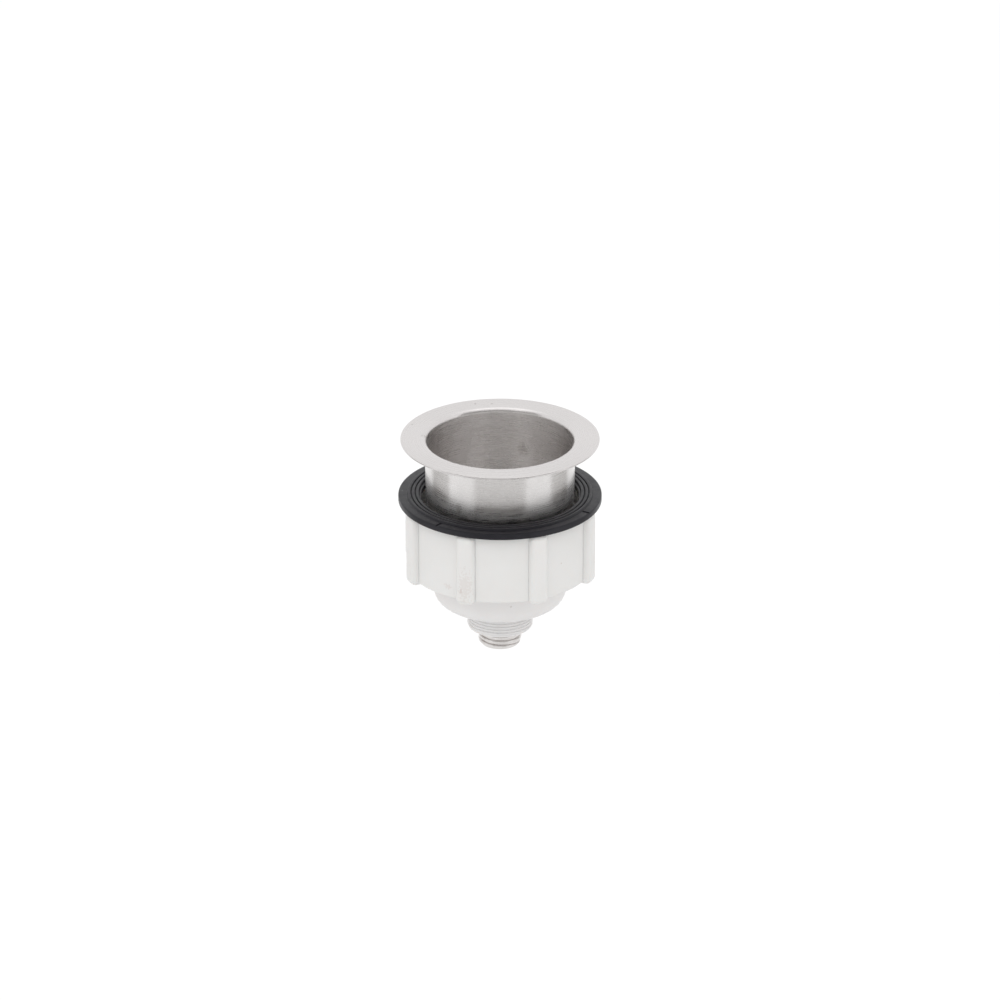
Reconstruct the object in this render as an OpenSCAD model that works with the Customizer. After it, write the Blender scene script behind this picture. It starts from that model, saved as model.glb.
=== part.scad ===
// Sink flange set: drawn steel bowl, hollow screw, rubber gasket, plastic cup,
// friction ring and union nut, stacked on one vertical axis.
// Millimetres, +Z up. The origin is on the axis, in the plane where the flange meets the sink.

/* [Steel flange cup] */
// Diameter of the flange that lies on the sink
flange_d = 114; // [108:1:124]
// Thickness of the steel sheet
sheet_t = 1.2; // [0.8:0.1:1.6]
// Outside diameter of the bowl just under the flange
bowl_d = 86.4; // [84:0.2:88]
// How much narrower the bowl is at the bottom of its straight wall
bowl_taper = 2; // [0:0.2:3]
// Depth from the underside of the flange to the underside of the floor
bowl_depth = 54.2; // [48:0.2:66]
// Radius of the rounded lip between flange and bowl
lip_r = 2.6; // [1.8:0.1:4]
// Radius of the shoulder that turns in to the foot
shoulder_r = 5; // [3.5:0.1:6]
// Outside diameter of the narrower foot
foot_d = 76.8; // [76:0.2:79]
// Height of the foot
foot_h = 4.6; // [4:0.1:7]
// Radius of the foot's bottom edge
foot_edge_r = 3; // [2.5:0.1:3.6]

/* [Hollow screw] */
// Outside diameter of the thread
thread_d = 24.8; // [22:0.2:26]
// Distance from one turn to the next
thread_pitch = 2.7; // [2:0.1:4]
// Radial depth of the thread
thread_depth = 0.8; // [0.5:0.1:1]
// Width of the thread's crest
crest_w = 0.9; // [0.4:0.1:1.4]
// Thickness of the wall between the thread's root and the bore that drains the bowl
screw_wall = 2.3; // [1.5:0.1:4]
// How far the collar head reaches past the hole in the bowl's floor
head_lap = 3; // [2:0.1:6]
// Height of the collar head
head_h = 4.1; // [3:0.1:6]
// How much smaller the neck's radius is than the thread's
neck_relief = 0.7; // [0:0.1:1.5]
// Length of the plain neck
neck_l = 4.6; // [3:0.1:8]
// How far the screw reaches out of the outlet
screw_reach = 10.8; // [4:0.2:20]
// Width of the driver slot
slot_w = 2.6; // [1.5:0.1:4]
// Depth of the driver slot
slot_depth = 2.2; // [1:0.1:2.8]
// Angle of the driver slot, turned from the X axis
slot_angle = 4.7; // [0:0.1:90]

/* [Rubber gasket] */
// Width of the ridged part around the hole
ridged_w = 8.1; // [6:0.1:12]
// Thickness of the flat outer band
band_t = 3.6; // [3:0.1:5]
// Height of the sealing ridges above the band
ridge_h = 1; // [0.5:0.1:1.5]
// Depth of the grooves below the band
groove_depth = 0.5; // [0.2:0.1:1]
// Width of the flat outer band
band_w = 5; // [4:0.1:8]

/* [Plastic cup] */
// Width of the rim outside the mouth
rim_w = 3.7; // [3:0.1:5]
// Height of the rim's outer edge
rim_h = 3.8; // [3.4:0.1:5]
// Depth of the mouth down to the outer edge of its sloping ledge
mouth_depth = 2.9; // [2:0.1:3.4]
// How far the ledge slopes down to the inner wall
ledge_drop = 2.1; // [1.5:0.1:3]
// How far the ledge reaches in under the bowl's foot
ledge_lap = 1.5; // [1:0.1:2.5]
// How much narrower the cup is where its bottom starts to round
cup_taper = 1.8; // [0:0.2:2.4]
// Thickness of the cup's wall
cup_wall = 2.1; // [1.6:0.1:3]
// Thickness of the cup's floor
cup_floor = 2.4; // [2:0.1:4]
// Height of the cup from its rim to the underside of its floor
cup_h = 51.6; // [44:0.2:60]
// Radius of the rounded bottom edge
cup_edge_r = 9.5; // [7:0.5:12]
// Thickness of the outlet's wall, thread and all
outlet_wall = 6.1; // [4:0.1:8]
// Length of the outlet below the floor
outlet_l = 15.4; // [12:0.2:24]

/* [Friction ring] */
// Height of the ring
ring_h = 21; // [16:0.5:24]
// How far the bead around the ring's top edge stands out
ring_bead = 0.7; // [0.3:0.1:1.2]
// Distance from the ring's top edge to its waist
ring_waist_h = 6.6; // [4:0.2:8]
// Height of the straight band at the ring's foot
ring_band_h = 4.2; // [2:0.2:6]
// Thickness of the ring's wall
ring_wall = 1.5; // [1.2:0.1:2]
// Thickness of the ring's foot
ring_foot_t = 3.2; // [2:0.1:3.6]

/* [Union nut] */
// Height of the nut's body
nut_h = 40.9; // [38:0.1:48]
// Thickness of the wall behind the thread
nut_wall = 2.4; // [2:0.1:4]
// Distance from one turn of the coarse thread to the next
nut_pitch = 4.5; // [4:0.1:5]
// Radial depth of the coarse thread
nut_thread_depth = 1.6; // [1:0.1:1.8]
// Width of the coarse thread's crest
nut_crest_w = 2.2; // [1:0.1:3]
// Height of the plain entry above the thread
nut_entry_h = 3; // [2:0.1:6]
// Thickness of the inward lip at the bottom
nut_lip_t = 4.5; // [3:0.1:6]
// Number of grip ribs
rib_count = 8; // [6:1:12]
// Width of one rib
rib_w = 10.8; // [8:0.2:13]
// How far the ribs stand out from the body
rib_out = 4; // [2:0.2:6]
// Rounding of the ribs' edges and ends
rib_round = 2.2; // [1:0.1:3]
// How far the ribs stand above the body
rib_above = 0.8; // [0.4:0.1:2]
// How far the ribs stand below the body
rib_below = 1.6; // [0.5:0.1:3]
// Angle of the first rib, turned from the X axis
rib_angle = -66.25; // [-90:0.25:0]

/* [Clearances] */
// Gap where one piece rests on the next
seat_gap = 0.1; // [0.05:0.05:0.3]
// Gap between the bowl's rounded foot and the ledge that it stands on
ledge_gap = 0.25; // [0.15:0.05:0.5]
// Radial gap around the screw's thread in the holes that it passes through
thread_gap = 0.3; // [0.2:0.05:0.5]
// Radial gap between the bowl and the gasket's hole
gasket_gap = 2; // [1:0.1:4]
// Radial gap between the bowl's lower end and the cup's mouth
mouth_gap = 2.7; // [1.5:0.1:4]
// Radial gap between the cup's rim and the nut's thread
rim_gap = 0.7; // [0.4:0.1:1.5]
// Radial gap between the cup and the ring's waist
waist_gap = 3.2; // [2:0.1:4]
// Radial gap between the ring's foot and the nut's thread
ring_gap = 1.7; // [0.8:0.1:2.5]
// Radial gap between the cup and the hole in the nut's lip
lip_gap = 2.5; // [1.5:0.1:4]

/* [Hidden] */
$fn = 96;
// Number of steps in a rounded corner of an outline
steps = 8;
// A small overlap that keeps cuts clean
eps = 0.2;

// Radii that several pieces share
bowl_r = bowl_d / 2;
bowl_low_r = bowl_r - bowl_taper / 2;
foot_r = foot_d / 2;
foot_flat_r = foot_r - foot_edge_r;
thread_r = thread_d / 2;
thread_root_r = thread_r - thread_depth;
drain_r = thread_root_r - screw_wall;
thread_hole_r = thread_r + thread_gap;
cup_inner_r = foot_r - ledge_lap;
cup_r = cup_inner_r + cup_wall;
cup_low_r = cup_r - cup_taper / 2;
cup_inner_edge_r = cup_edge_r - cup_wall;
mouth_r = bowl_low_r + mouth_gap;
rim_r = mouth_r + rim_w;
nut_crest_r = rim_r + rim_gap;
nut_root_r = nut_crest_r + nut_thread_depth;
nut_r = nut_root_r + nut_wall;

// Heights of the stack, from the flange down
bowl_bottom_z = -bowl_depth;
bowl_floor_z = bowl_bottom_z + sheet_t;
ledge_z = -mouth_depth - ledge_drop;
foot_sag = foot_edge_r - sqrt(pow(foot_edge_r, 2) - pow(cup_inner_r - foot_flat_r, 2));
rim_z = bowl_bottom_z + foot_sag - ledge_gap - ledge_z;
cup_bottom_z = rim_z - cup_h;
outlet_end_z = cup_bottom_z - outlet_l;
head_top_z = bowl_floor_z + seat_gap + head_h;
screw_l = head_top_z - outlet_end_z + screw_reach;
ring_top_z = rim_z - rim_h - seat_gap;
nut_lip_z = ring_top_z - ring_h - seat_gap;
nut_top_z = nut_lip_z - nut_lip_t + nut_h;
gasket_z = nut_top_z + rib_above + seat_gap;

// Points of an arc about a centre, from one angle to another
function arc(cx, cy, r, from, to, n = steps) =
    [for (i = [0:n]) let (a = from + (to - from) * i / n) [cx + r * cos(a), cy + r * sin(a)]];

// Points of a row of thread ridges seen in section, from the top down to the last groove
function ridges(root, crest, top, pitch, flat, turns) =
    concat(
        [for (i = [0:turns - 1])
            each [
                [root, top - pitch * i],
                [crest, top - pitch * (i + 0.5) + flat / 2],
                [crest, top - pitch * (i + 0.5) - flat / 2]
            ]],
        [[root, top - pitch * turns]]
    );

// Bowl: one drawn sheet from the flange's edge to the hole in its floor
module steel_flange_cup() {
    flange_r = flange_d / 2;
    edge_r = sheet_t * 0.6;
    shoulder_z = bowl_bottom_z + foot_h + shoulder_r;
    shoulder_x = bowl_low_r - shoulder_r;
    shoulder_end = acos((foot_r - shoulder_x) / shoulder_r);
    foot_turn_z = bowl_bottom_z + foot_edge_r;
    color("silver")
        rotate_extrude()
            polygon(concat(
                arc(flange_r - edge_r, sheet_t - edge_r, edge_r, 0, 90),
                arc(bowl_r - sheet_t + lip_r, sheet_t - lip_r, lip_r, 90, 180),
                arc(shoulder_x, shoulder_z, shoulder_r - sheet_t, 0, -90),
                arc(foot_flat_r, foot_turn_z, foot_edge_r - sheet_t, 0, -90),
                [[thread_hole_r, bowl_floor_z], [thread_hole_r, bowl_bottom_z]],
                arc(foot_flat_r, foot_turn_z, foot_edge_r, -90, 0),
                arc(shoulder_x, shoulder_z, shoulder_r, -shoulder_end, 0),
                arc(bowl_r + lip_r - sheet_t, sheet_t - lip_r, lip_r - sheet_t, 180, 90),
                [[flange_r, 0]]
            ));
}

// Screw: collar head, neck and thread around one straight bore
module hollow_screw() {
    head_r = thread_hole_r + head_lap;
    neck_r = thread_r - neck_relief;
    bevel = 0.4;
    bore_bevel = screw_wall * 0.35;
    thread_top = -head_h - neck_l;
    turns = floor((screw_l + thread_top) / thread_pitch - 1.2);
    end_taper = thread_pitch * 1.3;
    color("gainsboro")
        translate([0, 0, head_top_z])
            difference() {
                rotate_extrude()
                    polygon(concat(
                        [
                            [drain_r + bore_bevel, 0],
                            [head_r - bevel, 0],
                            [head_r, -bevel],
                            [head_r, bevel - head_h],
                            [head_r - bevel, -head_h],
                            [neck_r, -head_h],
                            [neck_r, thread_top]
                        ],
                        ridges(thread_root_r, thread_r, thread_top - 0.1, thread_pitch, crest_w, turns),
                        [
                            [thread_root_r, end_taper - screw_l],
                            [drain_r + screw_wall / 2, -screw_l],
                            [drain_r, -screw_l],
                            [drain_r, -bore_bevel]
                        ]
                    ));
                rotate([0, 0, slot_angle])
                    translate([-head_r - eps, -slot_w / 2, -slot_depth])
                        cube([2 * (head_r + eps), slot_w, slot_depth + eps]);
            }
}

// Gasket: flat outer band, then ridges with grooves between them, up to the hole
module rubber_gasket() {
    hole_r = bowl_r + gasket_gap;
    ridges_r = hole_r + ridged_w;
    outer_r = ridges_r + band_w;
    edge = 0.8;
    top = band_t + ridge_h;
    ridge_w = ridged_w / 3.4;
    ridge_edge = 0.2;
    color([0.13, 0.13, 0.14])
        translate([0, 0, gasket_z])
            rotate_extrude()
                polygon(concat(
                    [[hole_r, 0], [outer_r, 0]],
                    arc(outer_r - edge, band_t - edge, edge, 0, 90, 4),
                    [[ridges_r, band_t]],
                    [for (i = [0:2])
                        each [
                            [ridges_r - ridge_w * (i + 0.15), top - ridge_edge],
                            [ridges_r - ridge_w * (i + 0.35), top],
                            [ridges_r - ridge_w * (i + 0.65), top],
                            [ridges_r - ridge_w * (i + 0.85), top - ridge_edge],
                            [ridges_r - ridge_w * (i + 1), band_t - groove_depth]
                        ]],
                    [[hole_r, band_t - 2 * groove_depth]]
                ));
}

// Cup: rim, sloping ledge, rounded bottom and outlet in one moulding
module plastic_cup() {
    edge = 0.9;
    under_r = 1.2;
    rim_bevel = 0.4;
    outlet_r = thread_hole_r + outlet_wall;
    turn_z = cup_edge_r - cup_h;
    color("whitesmoke")
        translate([0, 0, rim_z])
            rotate_extrude()
                polygon(concat(
                    arc(rim_r - edge, -edge, edge, 0, 90, 4),
                    arc(mouth_r + edge, -edge, edge, 90, 180, 4),
                    [[mouth_r, -mouth_depth], [cup_inner_r, ledge_z]],
                    arc(cup_low_r - cup_edge_r, turn_z, cup_inner_edge_r, 0, -90),
                    [
                        [thread_hole_r, cup_floor - cup_h],
                        [thread_hole_r, -cup_h - outlet_l],
                        [outlet_r - edge, -cup_h - outlet_l],
                        [outlet_r, edge - cup_h - outlet_l],
                        [outlet_r, -cup_h]
                    ],
                    arc(cup_low_r - cup_edge_r, turn_z, cup_edge_r, -90, 0),
                    arc(cup_r + under_r, -rim_h - under_r, under_r, 180, 90, 4),
                    [[rim_r - rim_bevel, -rim_h], [rim_r, rim_bevel - rim_h]]
                ));
}

// Ring: thin wall with a waist, flared to a thicker foot
module friction_ring() {
    waist_r = cup_r + waist_gap + ring_wall;
    top_r = waist_r + ring_bead;
    foot_out_r = nut_crest_r - ring_gap;
    foot_in_r = foot_out_r - ring_foot_t;
    bead_h = 1.4;
    bevel = 0.3;
    waist_z = -ring_waist_h;
    flare_l = ring_h - ring_band_h - ring_waist_h;
    color([0.84, 0.85, 0.87, 0.8])
        translate([0, 0, ring_top_z])
            rotate_extrude()
                polygon(concat(
                    [[top_r - ring_wall, 0], [top_r, 0], [top_r, -bead_h], [waist_r, -bead_h - ring_bead]],
                    [for (i = [0:steps])
                        [waist_r + (foot_out_r - waist_r) * sin(90 * i / steps), waist_z - flare_l * i / steps]],
                    [[foot_out_r, bevel - ring_h], [foot_out_r - bevel, -ring_h], [foot_in_r, -ring_h]],
                    [for (i = [steps:-1:0])
                        [waist_r - ring_wall + (foot_in_r - waist_r + ring_wall) * sin(90 * i / steps),
                         waist_z - flare_l * i / steps]]
                ));
}

// One grip rib: rounded in plan and again in side view, standing on the X axis
module rib() {
    inner_x = nut_r - nut_wall * 2 / 3;
    outer_x = nut_r + rib_out;
    low = -nut_h - rib_below;
    tall = nut_h + rib_below + rib_above;
    intersection() {
        translate([0, 0, low])
            linear_extrude(tall)
                union() {
                    translate([inner_x, -rib_w / 2])
                        square([outer_x - rib_round - inner_x, rib_w]);
                    translate([inner_x, rib_round - rib_w / 2])
                        square([outer_x - inner_x, rib_w - 2 * rib_round]);
                    for (s = [-1, 1])
                        translate([outer_x - rib_round, s * (rib_w / 2 - rib_round)])
                            circle(rib_round);
                }
        translate([0, rib_w / 2 + eps, 0])
            rotate([90, 0, 0])
                linear_extrude(rib_w + 2 * eps)
                    union() {
                        translate([inner_x, low])
                            square([outer_x - rib_round - inner_x, tall]);
                        translate([inner_x, low + rib_round])
                            square([outer_x - inner_x, tall - 2 * rib_round]);
                        for (z = [low + rib_round, low + tall - rib_round])
                            translate([outer_x - rib_round, z])
                                circle(rib_round);
                    }
    }
}

// Nut: threaded wall with an inward lip at the bottom and grip ribs outside
module union_nut() {
    hole_r = cup_r + lip_gap;
    lip_top = nut_lip_t - nut_h;
    turns = floor((-nut_entry_h - lip_top) / nut_pitch);
    edge = 0.8;
    bevel = 0.5;
    color("whitesmoke")
        translate([0, 0, nut_top_z]) {
            rotate_extrude()
                polygon(concat(
                    arc(nut_r - edge, -edge, edge, 0, 90, 4),
                    [[nut_root_r + bevel, 0], [nut_root_r, -bevel]],
                    ridges(nut_root_r, nut_crest_r, -nut_entry_h, nut_pitch, nut_crest_w, turns),
                    [
                        [nut_root_r, lip_top],
                        [hole_r + bevel, lip_top],
                        [hole_r, lip_top - bevel],
                        [hole_r, -nut_h]
                    ],
                    arc(nut_r - edge, edge - nut_h, edge, -90, 0, 4)
                ));
            for (i = [0:rib_count - 1])
                rotate([0, 0, rib_angle + i * 360 / rib_count])
                    rib();
        }
}

steel_flange_cup();
hollow_screw();
rubber_gasket();
plastic_cup();
friction_ring();
union_nut();
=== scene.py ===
import math
import bpy
import bmesh
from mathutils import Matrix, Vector


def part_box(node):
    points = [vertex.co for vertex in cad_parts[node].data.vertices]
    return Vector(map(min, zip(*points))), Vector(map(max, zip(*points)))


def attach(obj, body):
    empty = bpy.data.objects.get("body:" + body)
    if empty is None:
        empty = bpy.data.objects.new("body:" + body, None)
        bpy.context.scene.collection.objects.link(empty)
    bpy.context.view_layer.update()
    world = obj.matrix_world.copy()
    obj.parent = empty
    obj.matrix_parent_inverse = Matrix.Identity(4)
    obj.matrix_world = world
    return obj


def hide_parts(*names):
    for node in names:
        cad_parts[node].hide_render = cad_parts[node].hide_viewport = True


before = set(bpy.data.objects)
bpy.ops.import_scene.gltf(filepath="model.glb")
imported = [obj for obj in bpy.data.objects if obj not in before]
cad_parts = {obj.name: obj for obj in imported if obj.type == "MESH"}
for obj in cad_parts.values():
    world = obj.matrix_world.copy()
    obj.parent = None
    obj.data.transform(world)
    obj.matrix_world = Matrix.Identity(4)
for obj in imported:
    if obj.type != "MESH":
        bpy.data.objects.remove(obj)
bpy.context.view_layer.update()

mm = 0.001
fullTurn = 2 * math.pi
print("frame loaded")


# Camera

cameraSet = {
    "target": (0.0, 0.0, -0.0376),
    "elevation": math.radians(24),
    "distance": 6.0,
    "frameWidth": 0.573,  # metres across the picture at the target
    "sensor": 36.0,
}


def addCamera(s):
    data = bpy.data.cameras.new("viewCamera")
    data.sensor_fit = "HORIZONTAL"
    data.sensor_width = s["sensor"]
    data.lens = s["sensor"] * s["distance"] / s["frameWidth"]
    data.clip_end = 100
    camera = bpy.data.objects.new("viewCamera", data)
    bpy.context.scene.collection.objects.link(camera)
    back = Vector((0, -math.cos(s["elevation"]), math.sin(s["elevation"])))
    camera.location = Vector(s["target"]) + back * s["distance"]
    camera.rotation_euler = (-back).to_track_quat("-Z", "Y").to_euler()
    bpy.context.scene.camera = camera


addCamera(cameraSet)


# Node helpers

def newMaterial(name):
    material = bpy.data.materials.new(name)
    material.use_nodes = True
    tree = material.node_tree
    tree.nodes.clear()
    output = tree.nodes.new("ShaderNodeOutputMaterial")
    shader = tree.nodes.new("ShaderNodeBsdfPrincipled")
    tree.links.new(shader.outputs[0], output.inputs["Surface"])
    return material, tree, shader


def addNode(tree, kind, **settings):
    node = tree.nodes.new(kind)
    for key, value in settings.items():
        setattr(node, key, value)
    return node


def feed(tree, source, target):
    if isinstance(source, bpy.types.NodeSocket):
        tree.links.new(source, target)
    else:
        target.default_value = source


def calc(tree, operation, a, b=0.0, clamp=False):
    node = addNode(tree, "ShaderNodeMath", operation=operation, use_clamp=clamp)
    feed(tree, a, node.inputs[0])
    feed(tree, b, node.inputs[1])
    return node.outputs[0]


def between(tree, value, low, high, newLow=0.0, newHigh=1.0, kind="SMOOTHSTEP"):
    node = addNode(tree, "ShaderNodeMapRange", interpolation_type=kind, clamp=True)
    for socket, source in zip(node.inputs[:5], (value, low, high, newLow, newHigh)):
        feed(tree, source, socket)
    return node.outputs[0]


def mixColour(tree, factor, a, b, blend="MIX"):
    node = addNode(tree, "ShaderNodeMix", data_type="RGBA", blend_type=blend)
    feed(tree, factor, node.inputs["Factor"])
    feed(tree, a, node.inputs[6])
    feed(tree, b, node.inputs[7])
    return node.outputs[2]


def noise(tree, vector, scale, detail=3.0, rough=0.5, distortion=0.0):
    node = addNode(tree, "ShaderNodeTexNoise")
    feed(tree, vector, node.inputs["Vector"])
    node.inputs["Scale"].default_value = scale
    node.inputs["Detail"].default_value = detail
    node.inputs["Roughness"].default_value = rough
    node.inputs["Distortion"].default_value = distortion
    return node.outputs[0]


def bump(tree, height, distance, strength=1.0, normal=None):
    node = addNode(tree, "ShaderNodeBump")
    feed(tree, height, node.inputs["Height"])
    node.inputs["Distance"].default_value = distance
    node.inputs["Strength"].default_value = strength
    if normal is not None:
        feed(tree, normal, node.inputs["Normal"])
    return node.outputs[0]


def newGroup(name, inputs, outputs):
    tree = bpy.data.node_groups.new(name, "ShaderNodeTree")
    for label, kind, value in inputs:
        socket = tree.interface.new_socket(label, in_out="INPUT", socket_type=kind)
        socket.default_value = value
    for label, kind in outputs:
        tree.interface.new_socket(label, in_out="OUTPUT", socket_type=kind)
    return tree, tree.nodes.new("NodeGroupInput"), tree.nodes.new("NodeGroupOutput")


def useGroup(tree, group, **values):
    node = addNode(tree, "ShaderNodeGroup", node_tree=group)
    for label, value in values.items():
        feed(tree, value, node.inputs[label])
    return node


floatSocket = "NodeSocketFloat"
vectorSocket = "NodeSocketVector"


# Effects that several finishes share

def makeTurnedLines():
    # fine lines that run round the axis, as turning, spinning and polishing leave them
    tree, given, put = newGroup(
        "turnedLines",
        [("Lines per metre", floatSocket, 3000.0), ("Sweep", floatSocket, 1.5), ("Tilt", floatSocket, 0.0)],
        [("Lines", floatSocket), ("Height", floatSocket)],
    )
    place = addNode(tree, "ShaderNodeTexCoord").outputs["Object"]
    split = addNode(tree, "ShaderNodeSeparateXYZ")
    tree.links.new(place, split.inputs[0])
    x, y, z = split.outputs
    radius = calc(tree, "SQRT", calc(tree, "ADD", calc(tree, "MULTIPLY", x, x), calc(tree, "MULTIPLY", y, y)))
    safe = calc(tree, "MAXIMUM", radius, 0.0001)
    east = calc(tree, "MULTIPLY", calc(tree, "DIVIDE", x, safe), given.outputs["Sweep"])
    north = calc(tree, "MULTIPLY", calc(tree, "DIVIDE", y, safe), given.outputs["Sweep"])
    slant = calc(tree, "MULTIPLY", x, given.outputs["Tilt"])
    along = calc(tree, "ADD", calc(tree, "ADD", radius, z), slant)
    run = calc(tree, "MULTIPLY", along, given.outputs["Lines per metre"])
    join = addNode(tree, "ShaderNodeCombineXYZ")
    for source, socket in zip((east, north, run), join.inputs):
        feed(tree, source, socket)
    lines = noise(tree, join.outputs[0], 1.0, detail=4.0, rough=0.65)
    tree.links.new(between(tree, lines, 0.3, 0.7), put.inputs["Lines"])
    tree.links.new(lines, put.inputs["Height"])
    return tree


def makeClouds():
    # broad uneven patches, and the finer mottling inside them
    tree, given, put = newGroup(
        "clouds",
        [("Scale", floatSocket, 40.0), ("Low", floatSocket, 0.35), ("High", floatSocket, 0.65)],
        [("Mask", floatSocket)],
    )
    place = addNode(tree, "ShaderNodeTexCoord").outputs["Object"]
    node = addNode(tree, "ShaderNodeTexNoise")
    tree.links.new(place, node.inputs["Vector"])
    tree.links.new(given.outputs["Scale"], node.inputs["Scale"])
    node.inputs["Detail"].default_value = 5.0
    node.inputs["Roughness"].default_value = 0.6
    mask = between(tree, node.outputs[0], given.outputs["Low"], given.outputs["High"])
    tree.links.new(mask, put.inputs["Mask"])
    return tree


def makeMouldGrain():
    # the fine skin of a moulding, with a slow waviness under it
    tree, given, put = newGroup(
        "mouldGrain",
        [("Grain", floatSocket, 2500.0), ("Waves", floatSocket, 120.0), ("Wave share", floatSocket, 0.5)],
        [("Height", floatSocket), ("Mottle", floatSocket)],
    )
    place = addNode(tree, "ShaderNodeTexCoord").outputs["Object"]
    fine = addNode(tree, "ShaderNodeTexNoise")
    slow = addNode(tree, "ShaderNodeTexNoise")
    for node, label in ((fine, "Grain"), (slow, "Waves")):
        tree.links.new(place, node.inputs["Vector"])
        tree.links.new(given.outputs[label], node.inputs["Scale"])
        node.inputs["Detail"].default_value = 3.0
    share = calc(tree, "MULTIPLY", slow.outputs[0], given.outputs["Wave share"])
    tree.links.new(calc(tree, "ADD", fine.outputs[0], share), put.inputs["Height"])
    tree.links.new(slow.outputs[0], put.inputs["Mottle"])
    return tree


def makeSpot():
    # one ragged mark around a point of the piece
    tree, given, put = newGroup(
        "spot",
        [("Centre", vectorSocket, (0.0, 0.0, 0.0)), ("Stretch", vectorSocket, (1.0, 1.0, 1.0)),
         ("Size", floatSocket, 0.002), ("Ragged", floatSocket, 0.6), ("Grain", floatSocket, 900.0)],
        [("Mask", floatSocket)],
    )
    place = addNode(tree, "ShaderNodeTexCoord").outputs["Object"]
    away = addNode(tree, "ShaderNodeVectorMath", operation="SUBTRACT")
    tree.links.new(place, away.inputs[0])
    tree.links.new(given.outputs["Centre"], away.inputs[1])
    scaled = addNode(tree, "ShaderNodeVectorMath", operation="DIVIDE")
    tree.links.new(away.outputs[0], scaled.inputs[0])
    tree.links.new(given.outputs["Stretch"], scaled.inputs[1])
    length = addNode(tree, "ShaderNodeVectorMath", operation="LENGTH")
    tree.links.new(scaled.outputs[0], length.inputs[0])
    rel = calc(tree, "DIVIDE", length.outputs["Value"], given.outputs["Size"])
    rough = addNode(tree, "ShaderNodeTexNoise")
    tree.links.new(place, rough.inputs["Vector"])
    tree.links.new(given.outputs["Grain"], rough.inputs["Scale"])
    rough.inputs["Detail"].default_value = 4.0
    swing = calc(tree, "MULTIPLY", calc(tree, "SUBTRACT", rough.outputs[0], 0.5), given.outputs["Ragged"])
    edge = calc(tree, "ADD", rel, calc(tree, "MULTIPLY", swing, 4.0))
    tree.links.new(between(tree, edge, 0.6, 1.1, 1.0, 0.0), put.inputs["Mask"])
    return tree


turnedLines = makeTurnedLines()
clouds = makeClouds()
mouldGrain = makeMouldGrain()
spot = makeSpot()


def addSpots(tree, marks, colour, base):
    # each mark: centre in mm, size in mm, stretch, ragged, strength
    for centre, size, stretch, ragged, strength in marks:
        node = useGroup(tree, spot, Centre=tuple(c * mm for c in centre), Size=size * mm,
                        Stretch=stretch, Ragged=ragged)
        base = mixColour(tree, calc(tree, "MULTIPLY", node.outputs[0], strength), base, colour)
    return base


# Finishes

def makeSteel(name, s):
    material, tree, shader = newMaterial(name)
    lines = useGroup(tree, turnedLines, **{"Lines per metre": s["lines"], "Sweep": s["sweep"], "Tilt": s["tilt"]})
    patches = useGroup(tree, clouds, Scale=s["patchScale"], Low=0.35, High=0.7)
    shade = mixColour(tree, lines.outputs["Lines"], s["dark"], s["light"])
    shade = mixColour(tree, calc(tree, "MULTIPLY", patches.outputs[0], s["patchShare"]), shade, s["patch"])
    place = addNode(tree, "ShaderNodeTexCoord").outputs["Object"]
    split = addNode(tree, "ShaderNodeSeparateXYZ")
    tree.links.new(place, split.inputs[0])
    # painted shade: from 1.5 mm below the top plane upward the base colour fades into the darker flange colour, so
    # the flange top is darkened as if shaded
    flangeShadeMask = between(tree, split.outputs["Z"], -0.0015, 0.0005)
    shade = mixColour(tree, calc(tree, "MULTIPLY", flangeShadeMask, s["flangeShadeShare"]), shade, s["flange"])
    shade = addSpots(tree, s["marks"], s["markColour"], shade)
    tree.links.new(shade, shader.inputs["Base Color"])
    rough = between(tree, lines.outputs["Lines"], 0.0, 1.0, s["rough"][0], s["rough"][1], kind="LINEAR")
    rough = calc(tree, "ADD", rough, calc(tree, "MULTIPLY", patches.outputs[0], s["patchRough"]))
    tree.links.new(rough, shader.inputs["Roughness"])
    tree.links.new(bump(tree, lines.outputs["Height"], s["depth"]), shader.inputs["Normal"])
    shader.inputs["Metallic"].default_value = 1.0
    shader.inputs["Anisotropic"].default_value = s["brushed"]
    shader.inputs["Anisotropic Rotation"].default_value = 0.25
    tangent = addNode(tree, "ShaderNodeTangent", direction_type="RADIAL", axis="Z")
    tree.links.new(tangent.outputs[0], shader.inputs["Tangent"])
    return material


def makePlastic(name, s):
    material, tree, shader = newMaterial(name)
    skin = useGroup(tree, mouldGrain, **{"Grain": s["grain"], "Waves": s["waves"], "Wave share": s["waveShare"]})
    patches = useGroup(tree, clouds, Scale=s["patchScale"], Low=0.4, High=0.75)
    shade = mixColour(tree, skin.outputs["Mottle"], s["dark"], s["light"])
    shade = mixColour(tree, calc(tree, "MULTIPLY", patches.outputs[0], s["patchShare"]), shade, s["patch"])
    shade = addSpots(tree, s["marks"], s["markColour"], shade)
    tree.links.new(shade, shader.inputs["Base Color"])
    rough = between(tree, patches.outputs[0], 0.0, 1.0, s["rough"][0], s["rough"][1], kind="LINEAR")
    tree.links.new(rough, shader.inputs["Roughness"])
    corner = addNode(tree, "ShaderNodeBevel", samples=4)
    corner.inputs["Radius"].default_value = s["fillet"]
    tree.links.new(bump(tree, skin.outputs["Height"], s["depth"], normal=corner.outputs[0]), shader.inputs["Normal"])
    shader.inputs["Specular IOR Level"].default_value = s["specular"]
    shader.inputs["Subsurface Weight"].default_value = s["subsurface"]
    shader.inputs["Subsurface Radius"].default_value = s["radius"]
    shader.inputs["Subsurface Scale"].default_value = 1.0
    shader.inputs["Transmission Weight"].default_value = s.get("through", 0.0)
    return material


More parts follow.
